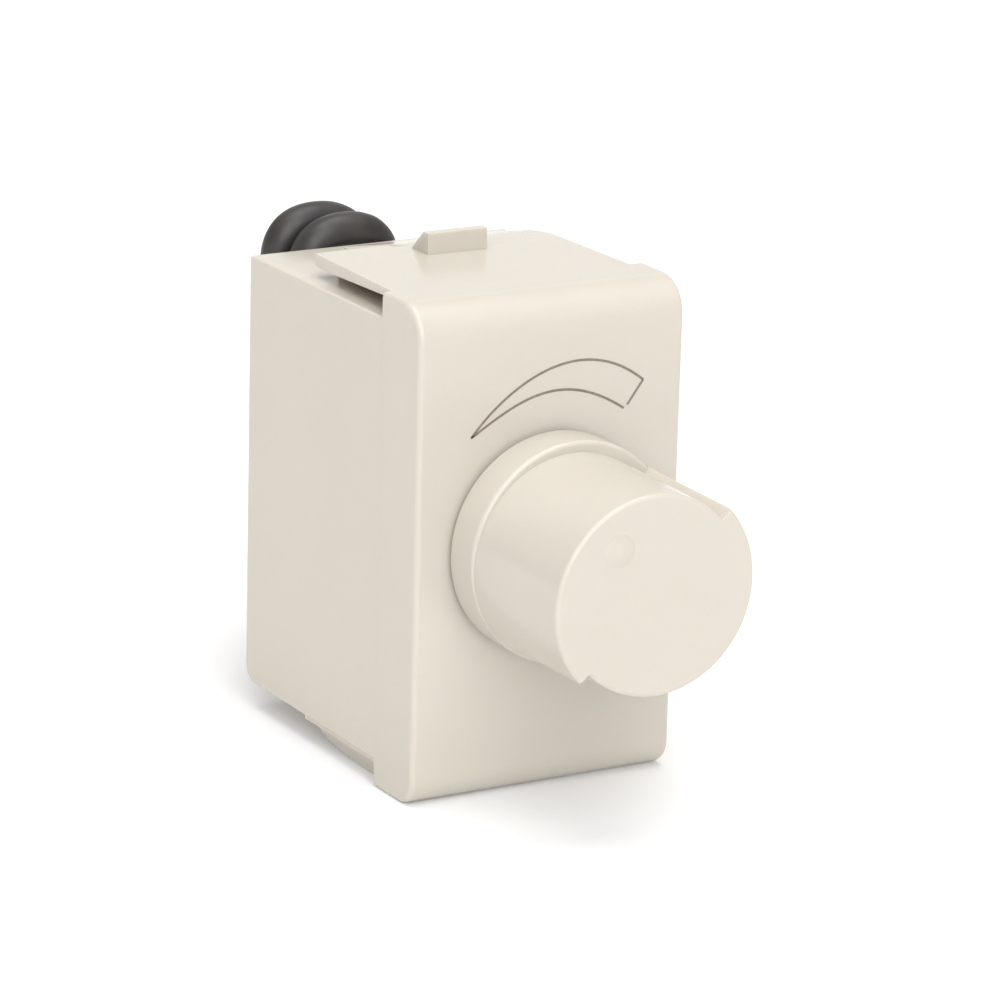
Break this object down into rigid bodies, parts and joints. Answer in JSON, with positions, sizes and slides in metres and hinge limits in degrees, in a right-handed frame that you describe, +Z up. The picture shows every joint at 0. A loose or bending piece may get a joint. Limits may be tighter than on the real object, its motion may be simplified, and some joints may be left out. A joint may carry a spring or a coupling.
{
  "type": "rotary wall dimmer switch",
  "caption": "Snap-in rotary wall dimmer module: ivory cover and housing, stepped knob on a potentiometer, phase-cut circuit inside and two flying leads at the rear.",
  "frame": {"origin": "on the surface the module stands on, centred across its width, under the shoulder plane where the front cover meets the rear housing", "axes": "+Z up, +Y to the rear, away from the knob, +X to the right seen from the front"},
  "size_m": [0.0372, 0.0769, 0.0426],
  "materials": {
    "ivory_plastic": "glossy ivory moulding",
    "lead_insulation": "satin black insulation",
    "bare_copper": "bare copper wire",
    "spring_steel": "blued spring strip",
    "zinc_casting": "die-cast zinc",
    "plated_steel": "nickel plated",
    "phenolic": "brown phenolic paper",
    "carbon_ink": "printed carbon",
    "turned_aluminium": "turned",
    "dark_moulding": "dark moulding",
    "bronze": "sprung bronze",
    "tinned_metal": "tinned",
    "board_laminate": "tan paper laminate",
    "choke_powder": "yellow coated powder ring",
    "enamelled_copper": "enamelled copper",
    "capacitor_box": "grey box",
    "capacitor_small": "red box",
    "resistor_lacquer": "beige lacquer",
    "diode_glass": "blue glass",
    "clear_glass": "clear glass",
    "sink_aluminium": "sheet aluminium",
    "clamp_nylon": "natural nylon"
  },
  "bodies": {
    "module": {"front_cover": "ivory_plastic", "rear_housing": "ivory_plastic", "lead_front": "lead_insulation", "lead_rear": "lead_insulation", "lead_front_bare_end": "bare_copper", "lead_rear_bare_end": "bare_copper", "pot_bushing": "zinc_casting", "pot_washer": "plated_steel", "pot_nut": "plated_steel", "pot_wafer": "phenolic", "carbon_track": "carbon_ink", "pot_case": "plated_steel", "pot_terminals": "tinned_metal", "circuit_board": "board_laminate", "choke_core": "choke_powder", "choke_winding": "enamelled_copper", "film_capacitor": "capacitor_box", "film_capacitor_pins": "tinned_metal", "timing_capacitor": "capacitor_small", "timing_capacitor_pins": "tinned_metal", "resistors": "resistor_lacquer", "resistor_leads": "tinned_metal", "diac": "diode_glass", "diac_leads": "tinned_metal", "fuse_glass": "clear_glass", "fuse_caps": "plated_steel", "fuse_element": "tinned_metal", "fuse_leads": "tinned_metal", "heat_sink": "sink_aluminium", "triac_body": "dark_moulding", "triac_tab": "tinned_metal", "triac_leads": "tinned_metal", "heat_sink_screw": "plated_steel", "lead_clamp": "clamp_nylon", "lead_tails": "lead_insulation", "tail_conductors": "bare_copper"},
    "turning_knob": {"knob": "ivory_plastic", "knob_spring": "spring_steel", "pot_shaft": "turned_aluminium", "pot_rotor": "dark_moulding", "pot_wiper": "bronze"}
  },
  "joints": [
    {"name": "knob_turn", "type": "hinge", "parent": "module", "child": "turning_knob", "pos_m": [0, -0.0067, 0.0209], "axis": [0, 1, 0], "range_deg": [-95, 175]}
  ]
}
